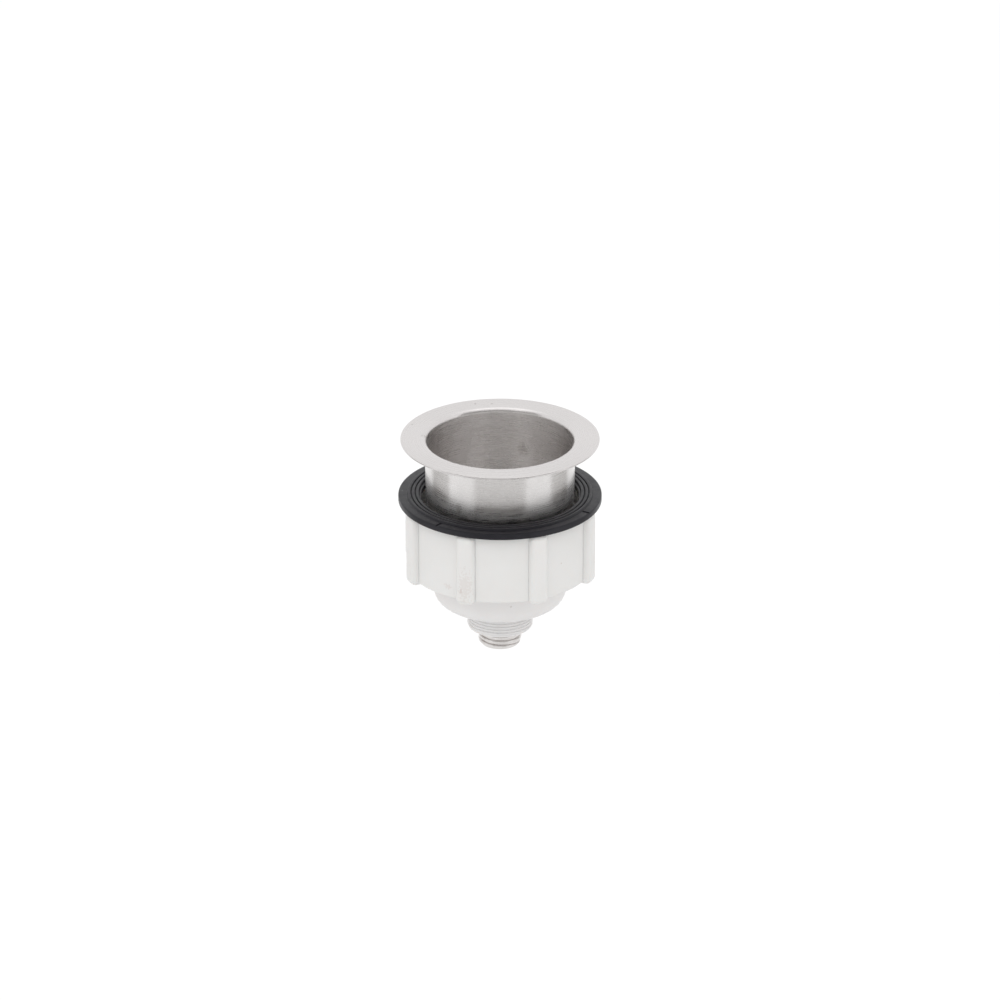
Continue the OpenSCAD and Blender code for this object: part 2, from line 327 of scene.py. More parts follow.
drawnSteel = makeSteel("drawnSteel", {
    "lines": 3600.0, "sweep": 2.2, "tilt": 0.02,
    "dark": (0.7, 0.68, 0.67, 1), "light": (0.84, 0.825, 0.82, 1),
    "patchScale": 60.0, "patchShare": 0.2, "patch": (0.7, 0.68, 0.665, 1), "patchRough": 0.04,
    # flange colour: a darker colour painted over the flange top as shade
    "flange": (0.68, 0.655, 0.65, 1), "flangeShadeShare": 0.8,
    "rough": (0.22, 0.3), "depth": 0.000005, "brushed": 0.8,
    "marks": [
        ((-23.5, -36.0, -27.7), 2.2, (1, 1, 1.5), 0.6, 0.4), ((3.5, -42.6, -39.5), 7.0, (1.6, 1, 0.45), 0.9, 0.3),
        ((-42.4, 3.2, 1.2), 1.4, (1.6, 1, 1), 0.9, 0.4), ((-50.4, 19.2, 1.2), 0.7, (1, 1, 1), 0.5, 0.5),
        ((-14.3, 49.0, 1.2), 0.7, (1, 1, 1), 0.5, 0.5), ((-4.6, 49.0, 1.2), 0.8, (1, 1, 1), 0.5, 0.5),
        ((13.2, 39.9, -23.2), 3.5, (1, 1, 1), 0.8, 0.35),
    ],
    "markColour": (0.3, 0.27, 0.25, 1),
})
turnedSteel = makeSteel("turnedSteel", {
    "lines": 6000.0, "sweep": 1.6, "tilt": 0.0,
    "dark": (0.6, 0.575, 0.56, 1), "light": (0.78, 0.76, 0.75, 1),
    "patchScale": 150.0, "patchShare": 0.15, "patch": (0.56, 0.53, 0.5, 1), "patchRough": 0.05,
    # flange colour: painted shade for the flange top, switched off here by its share of 0
    "flange": (0.6, 0.58, 0.57, 1), "flangeShadeShare": 0.0,
    "rough": (0.13, 0.2), "depth": 0.000004, "brushed": 0.5,
    "marks": [((6.5, 13.3, -50.0), 0.7, (1, 1, 1), 0.6, 0.4), ((-9.0, -11.4, -50.4), 0.6, (1, 1, 1), 0.6, 0.4)],
    "markColour": (0.3, 0.28, 0.26, 1),
})
blackRubber = makePlastic("blackRubber", {
    "grain": 3500.0, "waves": 160.0, "waveShare": 0.6,
    "dark": (0.008, 0.008, 0.011, 1), "light": (0.014, 0.013, 0.019, 1),
    "patchScale": 220.0, "patchShare": 0.25, "patch": (0.024, 0.022, 0.03, 1),
    "rough": (0.34, 0.46), "depth": 0.00003, "specular": 0.32,
    "subsurface": 0.0, "radius": (0.001, 0.001, 0.001), "fillet": 0.0003,
    "marks": [
        ((-56.0, 3.0, -33.2), 0.5, (1, 1, 1), 0.4, 0.7), ((-50.0, 12.0, -32.4), 0.4, (1, 1, 1), 0.4, 0.7),
        ((-3.0, 52.0, -32.2), 0.4, (1, 1, 1), 0.4, 0.6),
    ],
    "markColour": (0.16, 0.16, 0.17, 1),
})
cupPlastic = makePlastic("cupPlastic", {
    "grain": 2600.0, "waves": 70.0, "waveShare": 0.8,
    "dark": (0.83, 0.81, 0.8, 1), "light": (0.87, 0.86, 0.855, 1),
    "patchScale": 45.0, "patchShare": 0.25, "patch": (0.87, 0.83, 0.81, 1),
    "rough": (0.38, 0.5), "depth": 0.00003, "specular": 0.35,
    "subsurface": 0.2, "radius": (0.0015, 0.0013, 0.0012), "fillet": 0.0005,
    "marks": [
        ((-4.6, 36.8, -53.4), 0.7, (1, 1, 1), 0.5, 0.5), ((-13.8, -46.0, -49.1), 0.6, (1, 1, 1), 0.5, 0.5),
        ((-7.4, -48.0, -52.6), 0.7, (1, 1, 1), 0.6, 0.4), ((-0.6, -39.0, -60.0), 0.8, (1, 1, 1), 0.7, 0.35),
        ((-4.6, -38.7, -69.2), 0.7, (1, 1, 1), 0.5, 0.4), ((18.9, -34.1, -68.3), 0.5, (1, 1, 1), 0.5, 0.45),
        ((8.0, -38.2, -81.5), 0.8, (1, 1, 1), 0.6, 0.35), ((6.3, -38.0, -87.6), 0.7, (1, 1, 1), 0.6, 0.35),
        ((-16.0, -35.5, -77.0), 1.4, (1, 1, 1), 0.9, 0.15),
    ],
    "markColour": (0.5, 0.42, 0.38, 1),
})
ringPlastic = makePlastic("ringPlastic", {
    "grain": 2600.0, "waves": 90.0, "waveShare": 0.8,
    "dark": (0.72, 0.72, 0.735, 1), "light": (0.77, 0.77, 0.78, 1),
    "patchScale": 60.0, "patchShare": 0.2, "patch": (0.78, 0.77, 0.765, 1),
    "rough": (0.34, 0.46), "depth": 0.00002, "specular": 0.4,
    "subsurface": 0.7, "radius": (0.01, 0.01, 0.01), "through": 0.12, "fillet": 0.0003,
    "marks": [
        ((-6.0, 41.6, -56.0), 0.5, (1, 1, 1), 0.5, 0.4), ((10.3, 41.0, -56.0), 0.5, (1, 1, 1), 0.5, 0.4),
        ((36.0, -28.0, -68.3), 0.8, (1, 1, 1), 0.6, 0.35), ((-38.0, 19.0, -57.0), 0.5, (1, 1, 1), 0.5, 0.35),
    ],
    "markColour": (0.5, 0.42, 0.38, 1),
})
nutPlastic = makePlastic("nutPlastic", {
    "grain": 2400.0, "waves": 60.0, "waveShare": 1.0,
    "dark": (0.83, 0.82, 0.8, 1), "light": (0.87, 0.865, 0.855, 1),
    "patchScale": 50.0, "patchShare": 0.2, "patch": (0.86, 0.83, 0.81, 1),
    "rough": (0.4, 0.52), "depth": 0.00003, "specular": 0.35,
    "subsurface": 0.2, "radius": (0.0015, 0.0013, 0.0012), "fillet": 0.0009,
    "marks": [
        ((-20.0, -53.7, -68.0), 5.0, (0.8, 1, 1.9), 0.9, 0.16), ((-22.3, -52.8, -70.9), 1.3, (1, 1, 1), 0.7, 0.25),
        ((35.0, -40.2, -59.2), 0.5, (1, 1, 1), 0.5, 0.4), ((-29.8, -44.2, -71.9), 2.2, (1, 1, 0.7), 0.9, 0.18),
    ],
    "markColour": (0.55, 0.42, 0.36, 1),
})
print("finishes made")


# Mesh helpers

def nodeSpan(node):
    low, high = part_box(node)
    return low.z / mm, high.z / mm


def softened(outline, cornerSteps=5):
    # rounds each corner of a closed outline of (radius, height, rounding)
    made = []
    count = len(outline)
    for i, (x, y, rounding) in enumerate(outline):
        if rounding <= 0:
            made.append((x, y))
            continue
        corner = Vector((x, y))
        before = Vector(outline[i - 1][:2]) - corner
        after = Vector(outline[(i + 1) % count][:2]) - corner
        half = before.angle(after) / 2
        if half > math.pi / 2 - 0.01:
            made.append((x, y))
            continue
        reach = min(rounding / math.tan(half), before.length * 0.49, after.length * 0.49)
        radius = reach * math.tan(half)
        middle = corner + (before.normalized() + after.normalized()).normalized() * radius / math.sin(half)
        first = corner + before.normalized() * reach - middle
        last = corner + after.normalized() * reach - middle
        swing = first.angle_signed(last)
        for k in range(cornerSteps + 1):
            turn = -swing * k / cornerSteps
            made.append((middle.x + first.x * math.cos(turn) - first.y * math.sin(turn),
                         middle.y + first.x * math.sin(turn) + first.y * math.cos(turn)))
    return made


def turned(name, outline, topZ=0.0, segments=144, cornerSteps=5):
    # a closed outline in mm, turned once round the axis
    loop = softened(outline, cornerSteps)
    area = sum(a[0] * b[1] - b[0] * a[1] for a, b in zip(loop, loop[1:] + loop[:1]))
    if area > 0:
        loop = loop[::-1]
    vertices, faces = [], []
    for r, z in loop:
        for j in range(segments):
            angle = fullTurn * j / segments
            vertices.append((r * mm * math.cos(angle), r * mm * math.sin(angle), (topZ + z) * mm))
    rings = len(loop)
    for i in range(rings):
        for j in range(segments):
            a, b = i * segments + j, i * segments + (j + 1) % segments
            k = (i + 1) % rings * segments
            faces.append((a, k + j, k + (j + 1) % segments, b))
    mesh = bpy.data.meshes.new(name)
    mesh.from_pydata(vertices, [], faces)
    return linked(name, mesh)


def linked(name, mesh, sharp=35):
    mesh.validate()
    mesh.shade_smooth()
    mesh.set_sharp_from_angle(angle=math.radians(sharp))
    piece = bpy.data.objects.new(name, mesh)
    bpy.context.scene.collection.objects.link(piece)
    return piece


def paint(piece, material):
    piece.data.materials.clear()
    piece.data.materials.append(material)


# Geometry node trees

def newGeometryTree(name, inputs):
    tree = bpy.data.node_groups.new(name, "GeometryNodeTree")
    tree.interface.new_socket("Geometry", in_out="INPUT", socket_type="NodeSocketGeometry")
    for label, kind, value in inputs:
        socket = tree.interface.new_socket(label, in_out="INPUT", socket_type=kind)
        if value is not None:
            socket.default_value = value
    tree.interface.new_socket("Geometry", in_out="OUTPUT", socket_type="NodeSocketGeometry")
    return tree, tree.nodes.new("NodeGroupInput"), tree.nodes.new("NodeGroupOutput")


def closeTree(tree, geometry, given, put):
    whole = addNode(tree, "GeometryNodeRealizeInstances")
    smooth = addNode(tree, "GeometryNodeSetShadeSmooth")
    finish = addNode(tree, "GeometryNodeSetMaterial")
    tree.links.new(geometry, whole.inputs["Geometry"])
    tree.links.new(whole.outputs[0], smooth.inputs["Geometry"])
    tree.links.new(smooth.outputs[0], finish.inputs["Geometry"])
    tree.links.new(given.outputs["Material"], finish.inputs["Material"])
    tree.links.new(finish.outputs[0], put.inputs[0])


def makeThreadTree():
    # one ridge swept along a helix, which runs out at both ends
    tree, given, put = newGeometryTree("helicalThread", [
        ("Root radius", floatSocket, 0.0116), ("Depth", floatSocket, 0.0008), ("Sunk", floatSocket, 0.0003),
        ("Root width", floatSocket, 0.002), ("Crest width", floatSocket, 0.001), ("Rounding", floatSocket, 0.0002),
        ("Pitch", floatSocket, 0.0027), ("Turns", floatSocket, 5.0), ("Top", floatSocket, 0.0),
        ("Run out", floatSocket, 0.02), ("Start angle", floatSocket, 0.0), ("Steps", "NodeSocketInt", 96),
        ("Side", floatSocket, 1.0), ("Material", "NodeSocketMaterial", None),
    ])
    g = given.outputs
    height = calc(tree, "MULTIPLY", g["Pitch"], g["Turns"])
    helix = addNode(tree, "GeometryNodeCurveSpiral")
    for label, source in (("Resolution", g["Steps"]), ("Rotations", g["Turns"]), ("Start Radius", g["Root radius"]),
                          ("End Radius", g["Root radius"]), ("Height", height)):
        feed(tree, source, helix.inputs[label])
    place = addNode(tree, "GeometryNodeTransform")
    shift = addNode(tree, "ShaderNodeCombineXYZ")
    feed(tree, calc(tree, "SUBTRACT", g["Top"], height), shift.inputs["Z"])
    turn = addNode(tree, "ShaderNodeCombineXYZ")
    feed(tree, g["Start angle"], turn.inputs["Z"])
    toTurn = addNode(tree, "FunctionNodeEulerToRotation")
    tree.links.new(turn.outputs[0], toTurn.inputs[0])
    tree.links.new(helix.outputs[0], place.inputs["Geometry"])
    tree.links.new(shift.outputs[0], place.inputs["Translation"])
    tree.links.new(toTurn.outputs[0], place.inputs["Rotation"])
    upright = addNode(tree, "GeometryNodeSetCurveNormal", mode="Z_UP")
    tree.links.new(place.outputs[0], upright.inputs["Curve"])

    outline = addNode(tree, "GeometryNodeCurvePrimitiveQuadrilateral", mode="TRAPEZOID")
    tall = calc(tree, "ADD", g["Depth"], g["Sunk"])
    feed(tree, tall, outline.inputs["Height"])
    feed(tree, g["Root width"], outline.inputs["Bottom Width"])
    feed(tree, g["Crest width"], outline.inputs["Top Width"])
    outline.inputs["Offset"].default_value = 0.0
    soft = addNode(tree, "GeometryNodeFilletCurve", mode="POLY")
    soft.inputs["Count"].default_value = 3
    soft.inputs["Limit Radius"].default_value = True
    feed(tree, g["Rounding"], soft.inputs["Radius"])
    tree.links.new(outline.outputs[0], soft.inputs["Curve"])
    raised = addNode(tree, "GeometryNodeTransform")
    lift = addNode(tree, "ShaderNodeCombineXYZ")
    feed(tree, calc(tree, "SUBTRACT", calc(tree, "DIVIDE", tall, 2.0), g["Sunk"]), lift.inputs["Y"])
    tree.links.new(soft.outputs[0], raised.inputs["Geometry"])
    tree.links.new(lift.outputs[0], raised.inputs["Translation"])
    laid = addNode(tree, "GeometryNodeTransform")
    roll = addNode(tree, "ShaderNodeCombineXYZ")
    feed(tree, calc(tree, "MULTIPLY", g["Side"], math.pi / 2), roll.inputs["Z"])
    toRoll = addNode(tree, "FunctionNodeEulerToRotation")
    tree.links.new(roll.outputs[0], toRoll.inputs[0])
    tree.links.new(toRoll.outputs[0], laid.inputs["Rotation"])
    tree.links.new(raised.outputs[0], laid.inputs["Geometry"])

    along = addNode(tree, "GeometryNodeSplineParameter").outputs["Factor"]
    rise = between(tree, along, 0.0, g["Run out"])
    fall = between(tree, along, calc(tree, "SUBTRACT", 1.0, g["Run out"]), 1.0, 1.0, 0.0)
    sweep = addNode(tree, "GeometryNodeCurveToMesh")
    sweep.inputs["Fill Caps"].default_value = True
    tree.links.new(upright.outputs[0], sweep.inputs["Curve"])
    tree.links.new(laid.outputs[0], sweep.inputs["Profile Curve"])
    feed(tree, calc(tree, "MAXIMUM", calc(tree, "MULTIPLY", rise, fall), 0.05), sweep.inputs["Scale"])
    closeTree(tree, sweep.outputs[0], given, put)
    return tree


def makeAroundTree():
    # copies of the piece's own mesh, evenly round the axis
    tree, given, put = newGeometryTree("evenlyAround", [
        ("Count", "NodeSocketInt", 8), ("Start angle", floatSocket, 0.0), ("Material", "NodeSocketMaterial", None),
    ])
    points = addNode(tree, "GeometryNodePoints")
    feed(tree, given.outputs["Count"], points.inputs["Count"])
    index = addNode(tree, "GeometryNodeInputIndex").outputs[0]
    step = calc(tree, "DIVIDE", fullTurn, given.outputs["Count"])
    angle = calc(tree, "ADD", calc(tree, "MULTIPLY", index, step), given.outputs["Start angle"])
    turn = addNode(tree, "ShaderNodeCombineXYZ")
    feed(tree, angle, turn.inputs["Z"])
    toTurn = addNode(tree, "FunctionNodeEulerToRotation")
    tree.links.new(turn.outputs[0], toTurn.inputs[0])
    copies = addNode(tree, "GeometryNodeInstanceOnPoints")
    tree.links.new(points.outputs[0], copies.inputs["Points"])
    tree.links.new(given.outputs["Geometry"], copies.inputs["Instance"])
    tree.links.new(toTurn.outputs[0], copies.inputs["Rotation"])
    closeTree(tree, copies.outputs[0], given, put)
    return tree


helicalThread = makeThreadTree()
evenlyAround = makeAroundTree()


def grown(name, tree, values, start=None, sharp=35):
    # runs a geometry tree on a start mesh and keeps the result as a plain mesh
    mesh = start if start is not None else bpy.data.meshes.new(name + "Start")
    source = bpy.data.objects.new(name + "Start", mesh)
    bpy.context.scene.collection.objects.link(source)
    modifier = source.modifiers.new("grow", "NODES")
    modifier.node_group = tree
    for item in tree.interface.items_tree:
        if item.in_out == "INPUT" and item.name in values:
            modifier[item.identifier] = values[item.name]
    bpy.context.view_layer.update()
    seen = source.evaluated_get(bpy.context.evaluated_depsgraph_get())
    made = bpy.data.meshes.new_from_object(seen)
    made.name = name
    bpy.data.objects.remove(source)
    outward(made)
    return linked(name, made, sharp)


def outward(mesh):
    work = bmesh.new()
    work.from_mesh(mesh)
    bmesh.ops.remove_doubles(work, verts=work.verts, dist=1e-7)
    bmesh.ops.recalc_face_normals(work, faces=work.faces)
    work.to_mesh(mesh)
    work.free()


def joined(name, pieces):
    # several meshes of one finish become one piece
    work = bmesh.new()
    for piece in pieces:
        work.from_mesh(piece.data)
    mesh = bpy.data.meshes.new(name)
    work.to_mesh(mesh)
    work.free()
    for piece in pieces:
        bpy.data.objects.remove(piece)
    return linked(name, mesh)


def seat(piece, node, body, material):
    paint(piece, material)
    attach(piece, body)
    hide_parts(node)


def prism(name, points, count):
    # a closed solid between two outlines of count points each, given in mm
    mesh = bpy.data.meshes.new(name)
    sides = [(i, (i + 1) % count, count + (i + 1) % count, count + i) for i in range(count)]
    ends = [tuple(range(count))[::-1], tuple(range(count, 2 * count))]
    mesh.from_pydata([tuple(c * mm for c in point) for point in points], [], sides + ends)
    outward(mesh)
    tool = bpy.data.objects.new(name, mesh)
    bpy.context.scene.collection.objects.link(tool)
    return tool


def cutAway(body, tools):
    for tool in tools:
        cut = body.modifiers.new("cut", "BOOLEAN")
        cut.operation = "DIFFERENCE"
        cut.solver = "EXACT"
        cut.object = tool
    bpy.context.view_layer.update()
    made = bpy.data.meshes.new_from_object(body.evaluated_get(bpy.context.evaluated_depsgraph_get()))
    for extra in [body] + tools:
        bpy.data.objects.remove(extra)
    return made


# Hollow screw

screwSet = {
    "bore": 9.3, "head": 15.7, "headHeight": 4.1, "neck": 11.7, "neckLength": 4.6,
    "crest": 12.4, "root": 11.6, "pitch": 2.7, "slotWidth": 2.6, "slotDepth": 2.2, "slotAngle": 4.7,
}


def makeScrew(s):
    low, high = nodeSpan("hollow_screw")
    length = high - low
    threadTop = -s["headHeight"] - s["neckLength"]
    body = turned("screwBody", [
        (s["bore"] + 0.8, 0, 0.1), (s["head"], 0, 0.5), (s["head"], -s["headHeight"], 0.4),
        (s["neck"], -s["headHeight"], 0.3), (s["neck"], threadTop, 0.2), (s["crest"] - 0.1, threadTop - 0.35, 0.1),
        (s["crest"] - 0.1, threadTop - 1.1, 0.1), (s["root"], threadTop - 1.6, 0.2),
        (s["root"], -length + 1.3, 0.4), (s["root"] - 0.9, -length, 0.15), (s["bore"], -length, 0.1),
        (s["bore"], -0.8, 0.1),
    ], high, segments=160)
    turns = (length + threadTop - 3.3) / s["pitch"]
    thread = grown("screwThread", helicalThread, {
        "Root radius": s["root"] * mm, "Depth": (s["crest"] - s["root"]) * mm, "Sunk": 0.3 * mm,
        "Root width": 2.5 * mm, "Crest width": 1.3 * mm, "Rounding": 0.35 * mm, "Pitch": s["pitch"] * mm,
        "Turns": turns, "Top": (high + threadTop - 1.9) * mm, "Run out": 0.012, "Start angle": 0.4,
        "Steps": 96, "Side": 1.0, "Material": turnedSteel,
    })
    half, deep = s["slotWidth"] / 2, s["slotDepth"]
    profile = [(-half, -deep), (half, -deep), (half, -0.2), (half + 0.2, 0), (half + 0.2, 1), (-half - 0.2, 1),
               (-half - 0.2, 0), (-half, -0.2)]
    reach = s["head"] + 1
    turn = math.radians(s["slotAngle"])
    points = [(side * reach * math.cos(turn) - y * math.sin(turn), side * reach * math.sin(turn) + y * math.cos(turn),
               high + z) for side in (-1, 1) for y, z in profile]
    made = cutAway(body, [prism("slotCutter", points, len(profile))])
    piece = joined("hollowScrew", [linked("screwShank", made), thread])
    seat(piece, "hollow_screw", "screw", turnedSteel)


makeScrew(screwSet)
print("screw made")


# Plastic cup

cupSet = {
    "rim": 48.6, "rimHeight": 3.8, "mouth": 44.9, "mouthDepth": 2.9, "ledgeDrop": 2.1, "wallOut": 39.0,
    "wallLow": 38.1, "wallIn": 36.9, "wallInLow": 36.0, "floor": 2.4, "height": 51.6, "edge": 9.5,
    "outlet": 18.8, "outletRoot": 18.3, "outletLength": 15.4, "bore": 12.7, "threadPitch": 1.85, "threadTurns": 6.2,
}


def makeCup(s):
    low, high = nodeSpan("plastic_cup")
    bottom = -s["height"]
    end = bottom - s["outletLength"]
    body = turned("cupBody", [
        (s["rim"], 0, 1.1), (s["mouth"], 0, 1.0), (s["mouth"], -s["mouthDepth"], 0.5),
        (s["wallIn"], -s["mouthDepth"] - s["ledgeDrop"], 0.6),
        (s["wallInLow"], bottom + s["floor"], s["edge"] - 2.1), (s["bore"], bottom + s["floor"], 0.3),
        (s["bore"], end, 0.3), (s["outletRoot"], end, 0.8), (s["outletRoot"], bottom - 2.2, 0.2),
        (s["outlet"] - 0.1, bottom - 1.6, 0.3),
        (s["outlet"] - 0.1, bottom, 0.5), (s["wallLow"], bottom, s["edge"]), (s["wallOut"], -s["rimHeight"], 1.2),
        (s["rim"], -s["rimHeight"], 0.7),
    ], high, segments=192, cornerSteps=9)
    thread = grown("outletThread", helicalThread, {
        "Root radius": s["outletRoot"] * mm, "Depth": (s["outlet"] - s["outletRoot"]) * mm, "Sunk": 0.3 * mm,
        "Root width": 1.7 * mm, "Crest width": 0.8 * mm, "Rounding": 0.25 * mm, "Pitch": s["threadPitch"] * mm,
        "Turns": s["threadTurns"], "Top": (high + bottom - 2.7) * mm, "Run out": 0.04, "Start angle": 1.2,
        "Steps": 128, "Side": 1.0, "Material": cupPlastic,
    })
    piece = joined("catchCup", [body, thread])
    seat(piece, "plastic_cup", "cup", cupPlastic)


makeCup(cupSet)
print("cup made")


# Union nut

nutSet = {
    "body": 53.3, "root": 50.5, "crest": 49.3, "height": 40.9, "lip": 4.5, "hole": 41.5, "pitch": 4.5,
    "ribs": 8, "ribWidth": 10.8, "ribOut": 4.0, "ribRound": 3.3, "ribAbove": 0.8, "ribBelow": 1.6,
    "ribAngle": math.radians(-66.25),
}


def makeNut(s):
    low, high = nodeSpan("union_nut")
    top = high - s["ribAbove"]
    lipTop = s["lip"] - s["height"]
    body = turned("nutBody", [
        (s["body"], 0, 0.9), (s["root"] + 0.6, 0, 0.6), (s["root"], -2.2, 1.0), (s["root"], lipTop, 1.0),
        (s["hole"], lipTop, 0.8), (s["hole"], -s["height"], 0.6), (s["body"], -s["height"], 1.2),
    ], top, segments=192)
    thread = grown("nutThread", helicalThread, {
        "Root radius": s["root"] * mm, "Depth": (s["root"] - s["crest"]) * mm, "Sunk": 0.4 * mm,
        "Root width": 5.3 * mm, "Crest width": 3.1 * mm, "Rounding": 1.2 * mm, "Pitch": s["pitch"] * mm,
        "Turns": 7.5, "Top": (top - 3.0) * mm, "Run out": 0.03, "Start angle": 0.0, "Steps": 160,
        "Side": -1.0, "Material": nutPlastic,
    })
    rib = bmesh.new()
    bmesh.ops.create_cube(rib, size=1)
    inner = s["body"] - 1.6
    outer = s["body"] + s["ribOut"]
    tall = s["height"] + s["ribAbove"] + s["ribBelow"]
    for v in rib.verts:
        v.co = Vector(((inner + outer) / 2 + v.co.x * (outer - inner), v.co.y * s["ribWidth"],
                       high - tall / 2 + v.co.z * tall)) * mm
    middle = (inner + outer) / 2 * mm
    edges = [e for e in rib.edges if max(v.co.x for v in e.verts) > middle]
    bmesh.ops.bevel(rib, geom=edges, offset=s["ribRound"] * mm, segments=8, profile=0.5, affect="EDGES")
    ribMesh = bpy.data.meshes.new("oneRib")
    rib.to_mesh(ribMesh)
    rib.free()
    ribs = grown("nutRibs", evenlyAround, {"Count": s["ribs"], "Start angle": s["ribAngle"],
                                           "Material": nutPlastic}, start=ribMesh)
    piece = joined("unionNut", [body, thread, ribs])
    seat(piece, "union_nut", "nut", nutPlastic)


makeNut(nutSet)
print("nut made")


# Steel flange cup

bowlSet = {
    "flange": 57.0, "sheet": 1.2, "wall": 43.2, "wallLow": 42.2, "lip": 2.6, "shoulder": 5.0,
    "foot": 38.4, "footHeight": 4.75, "footEdge": 3.0, "depth": 54.2, "hole": 12.7,
}


def makeBowl(s):
    t = s["sheet"]
    low = -s["depth"]
    step = low + s["footHeight"]
    piece = turned("steelBowl", [
        (s["flange"], t, 0.55), (s["wall"] - t, t, s["lip"]), (s["wallLow"] - t, step + t, s["shoulder"] - t),
        (s["foot"] - t, step + t, 0.5), (s["foot"] - t, low + t, s["footEdge"] - t), (s["hole"], low + t, 0.1),
        (s["hole"], low, 0.1), (s["foot"], low, s["footEdge"]), (s["foot"], step, 0.4),
        (s["wallLow"], step, s["shoulder"] - 0.2), (s["wall"], 0, s["lip"] - t), (s["flange"], 0, 0.45),
    ], segments=256, cornerSteps=7)
    seat(piece, "steel_flange_cup", "bowl", drawnSteel)


makeBowl(bowlSet)
print("bowl made")


# Rubber gasket

gasketSet = {
    "hole": 45.2, "ridged": 53.3, "outer": 58.3, "band": 3.6, "ridge": 4.6, "groove": 3.1, "edge": 0.8,
    "ridges": 3, "ridgeWidth": 2.38, "notches": (57, 133, 232, 331), "notchWidth": 1.6, "notchDepth": 0.5,
}


def makeGasket(s):
    low, high = nodeSpan("rubber_gasket")
    outline = [(s["hole"], 0, 0.3), (s["outer"], 0, 0.3), (s["outer"], s["band"], s["edge"]),
               (s["ridged"], s["band"], 0.2)]
    for i in range(s["ridges"]):
        near, far = (s["ridged"] - s["ridgeWidth"] * (i + part) for part in (0.16, 0.84))
        outline += [(near, s["ridge"], 0.55), (far, s["ridge"], 0.55),
                    (s["ridged"] - s["ridgeWidth"] * (i + 1), s["groove"], 0.2)]
    outline.append((s["hole"], s["groove"] - 0.5, 0.3))
    body = turned("gasketBody", outline, low, segments=256)
    tools = []
    for angle in s["notches"]:
        turn = math.radians(angle)
        half = s["notchWidth"] / 2
        points = [(x, y, z) for x in (s["ridged"] + 0.6, s["outer"] + 1) for y, z in
                  ((-half, s["band"] - s["notchDepth"]), (half, s["band"] - s["notchDepth"]),
                   (half + 0.15, s["band"] + 1), (-half - 0.15, s["band"] + 1))]
        points = [(x * math.cos(turn) - y * math.sin(turn), x * math.sin(turn) + y * math.cos(turn), low + z)
                  for x, y, z in points]
        tools.append(prism("notchCutter", points, 4))
    made = cutAway(body, tools)
    piece = linked("sealGasket", made)
    seat(piece, "rubber_gasket", "gasket", blackRubber)


makeGasket(gasketSet)
print("gasket made")


# Friction ring

ringSet = {
    "rim": 44.4, "waist": 43.7, "wall": 1.5, "beadHeight": 1.4, "waistDrop": 6.6, "foot": 47.6,
    "footWall": 3.2, "bandHeight": 4.2, "height": 21.0, "flareSteps": 14,
}


def makeRing(s):
    low, high = nodeSpan("friction_ring")
    flare = s["height"] - s["bandHeight"] - s["waistDrop"]
    inFoot = s["foot"] - s["footWall"]
    inWaist = s["waist"] - s["wall"]
    outline = [(s["rim"] - s["wall"], 0, 0.5), (s["rim"], 0, 0.6), (s["rim"], -s["beadHeight"], 0.5),
               (s["waist"], -s["beadHeight"] - 0.7, 0.5), (s["waist"], -s["waistDrop"] + 0.4, 0)]
    share = [k / s["flareSteps"] for k in range(s["flareSteps"] + 1)]
    outline += [(s["waist"] + (s["foot"] - s["waist"]) * math.sin(math.pi / 2 * k),
                 -s["waistDrop"] - flare * k, 0) for k in share]
    outline += [(s["foot"], -s["height"], 0.5), (inFoot, -s["height"], 0.3)]
    outline += [(inWaist + (inFoot - inWaist) * math.sin(math.pi / 2 * k),
                 -s["waistDrop"] - flare * k, 0) for k in share[::-1]]
    piece = turned("waistedRing", outline, high, segments=224)
    seat(piece, "friction_ring", "ring", ringPlastic)


makeRing(ringSet)
print("ring made")


# Floor, light and backdrop

studio = {
    "floorZ": -0.27,
    "floorSize": 14.0,
    "floorColour": (0.8, 0.8, 0.8, 1),
    "floorLift": 0.22,  # extra white for the camera only, so that the floor reads as paper white
    "worldLight": 0.93,
}


def addFloor(s):
    half = s["floorSize"] / 2
    mesh = bpy.data.meshes.new("studioFloor")
    mesh.from_pydata([(-half, -half, s["floorZ"]), (half, -half, s["floorZ"]),
                      (half, half, s["floorZ"]), (-half, half, s["floorZ"])], [], [(0, 1, 2, 3)])
    floor = bpy.data.objects.new("studioFloor", mesh)
    bpy.context.scene.collection.objects.link(floor)
    material = bpy.data.materials.new("paperFloor")
    material.use_nodes = True
    tree = material.node_tree
    tree.nodes.clear()
    output = tree.nodes.new("ShaderNodeOutputMaterial")
    paper = addNode(tree, "ShaderNodeBsdfDiffuse")
    paper.inputs["Color"].default_value = s["floorColour"]
    glow = addNode(tree, "ShaderNodeEmission")
    path = addNode(tree, "ShaderNodeLightPath")
    seen = calc(tree, "MAXIMUM", path.outputs["Is Camera Ray"], path.outputs["Is Glossy Ray"])
    seen = calc(tree, "MAXIMUM", seen, path.outputs["Is Transmission Ray"])
    tree.links.new(calc(tree, "MULTIPLY", seen, s["floorLift"]), glow.inputs["Strength"])
    both = addNode(tree, "ShaderNodeAddShader")
    tree.links.new(paper.outputs[0], both.inputs[0])
    tree.links.new(glow.outputs[0], both.inputs[1])
    tree.links.new(both.outputs[0], output.inputs["Surface"])
    mesh.materials.append(material)


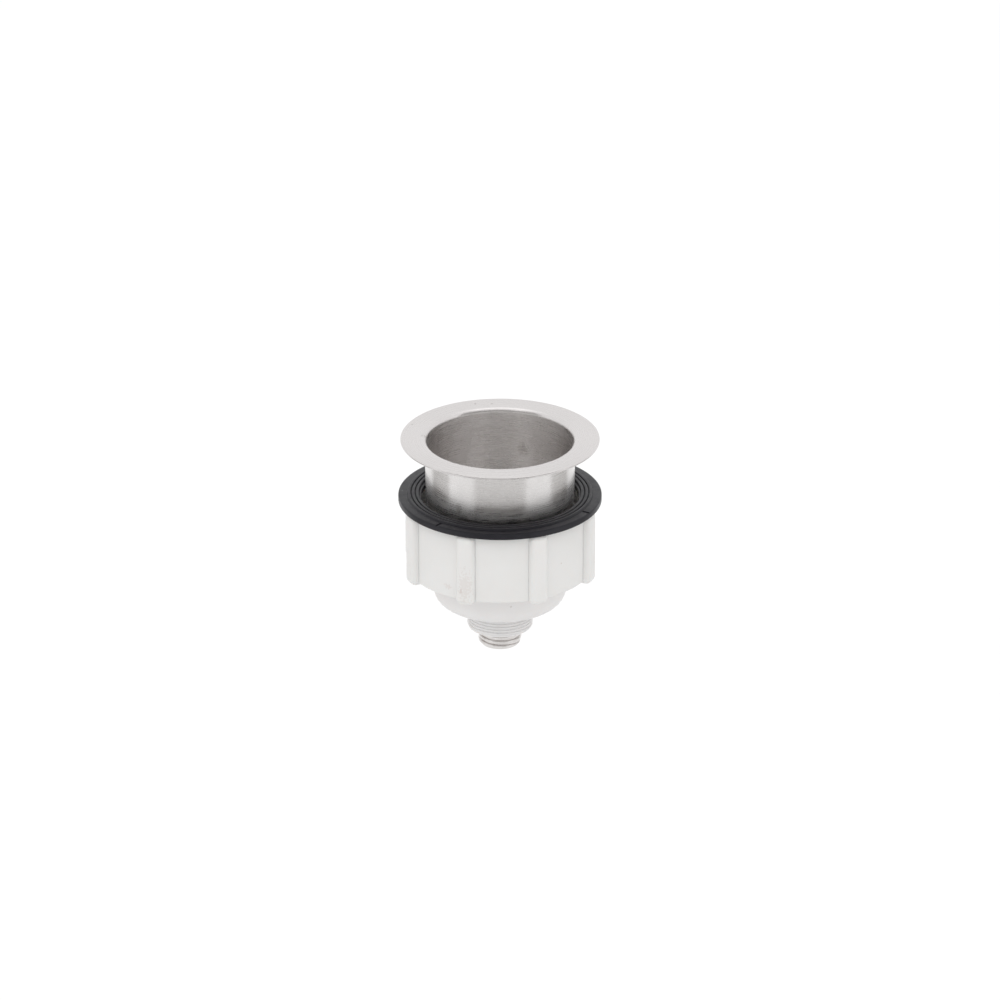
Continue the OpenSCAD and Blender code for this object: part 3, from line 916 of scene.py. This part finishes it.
def addWorld(s):
    world = bpy.data.worlds.new("studioWorld")
    bpy.context.scene.world = world
    world.use_nodes = True
    tree = world.node_tree
    tree.nodes.clear()
    output = tree.nodes.new("ShaderNodeOutputWorld")
    back = addNode(tree, "ShaderNodeBackground")
    back.inputs["Color"].default_value = (1, 1, 1, 1)
    path = addNode(tree, "ShaderNodeLightPath")
    seen = calc(tree, "MAXIMUM", path.outputs["Is Camera Ray"], path.outputs["Is Glossy Ray"])
    seen = calc(tree, "MAXIMUM", seen, path.outputs["Is Transmission Ray"])
    tree.links.new(between(tree, seen, 0.0, 1.0, s["worldLight"], 1.0, kind="LINEAR"), back.inputs["Strength"])
    tree.links.new(back.outputs[0], output.inputs["Surface"])


def addLamp(name, place, aim, size, power, shape="RECTANGLE", height=None):
    data = bpy.data.lights.new(name, "AREA")
    data.shape = shape
    data.size = size
    if height is not None:
        data.size_y = height
    data.energy = power
    lamp = bpy.data.objects.new(name, data)
    bpy.context.scene.collection.objects.link(lamp)
    lamp.location = place
    lamp.rotation_euler = (Vector(aim) - Vector(place)).to_track_quat("-Z", "Y").to_euler()
    return lamp


def addCard(name, azimuth, halfSpan, distance, low, high, shade):
    # a curved dark panel that only the metal's reflections see, azimuth 0 being the camera's side
    steps = 24
    points, faces = [], []
    for k in range(steps + 1):
        angle = math.radians(azimuth + halfSpan * (2 * k / steps - 1))
        for z in (low, high):
            points.append((distance * math.sin(angle), -distance * math.cos(angle), z))
    for k in range(steps):
        faces.append((2 * k, 2 * k + 2, 2 * k + 3, 2 * k + 1))
    mesh = bpy.data.meshes.new(name)
    mesh.from_pydata(points, [], faces)
    card = bpy.data.objects.new(name, mesh)
    bpy.context.scene.collection.objects.link(card)
    material = bpy.data.materials.new(name)
    material.use_nodes = True
    tree = material.node_tree
    tree.nodes.clear()
    output = tree.nodes.new("ShaderNodeOutputMaterial")
    paint = addNode(tree, "ShaderNodeEmission")
    paint.inputs["Color"].default_value = shade
    tree.links.new(paint.outputs[0], output.inputs["Surface"])
    mesh.materials.append(material)
    card.visible_camera = False
    card.visible_diffuse = False
    card.visible_shadow = False
    card.visible_transmission = False


addFloor(studio)
addWorld(studio)
addLamp("keyLamp", (-1.2, -1.4, 1.6), (0, 0, -0.05), 1.0, 4, height=1.0)
addLamp("fillLamp", (1.5, -1.0, 1.0), (0, 0, -0.05), 1.2, 1.5, height=1.2)
addLamp("topLamp", (0.0, 0.6, 2.0), (0, 0, -0.05), 1.4, 3, height=1.4)
darkShade = (0.24, 0.225, 0.215, 1)
greyShade = (0.3, 0.285, 0.27, 1)
addCard("highCard", 0, 70, 0.5, 0.12, 0.62, darkShade)
addCard("lowCard", 0, 38, 0.5, -0.268, -0.105, greyShade)
addCard("leftCard", -102, 20, 0.5, -0.268, -0.105, greyShade)
addCard("rightCard", 102, 20, 0.5, -0.268, -0.105, greyShade)
bpy.context.scene.view_settings.view_transform = "Standard"
bpy.context.scene.cycles.glossy_bounces = 8
bpy.context.scene.cycles.diffuse_bounces = 8
print("studio made")
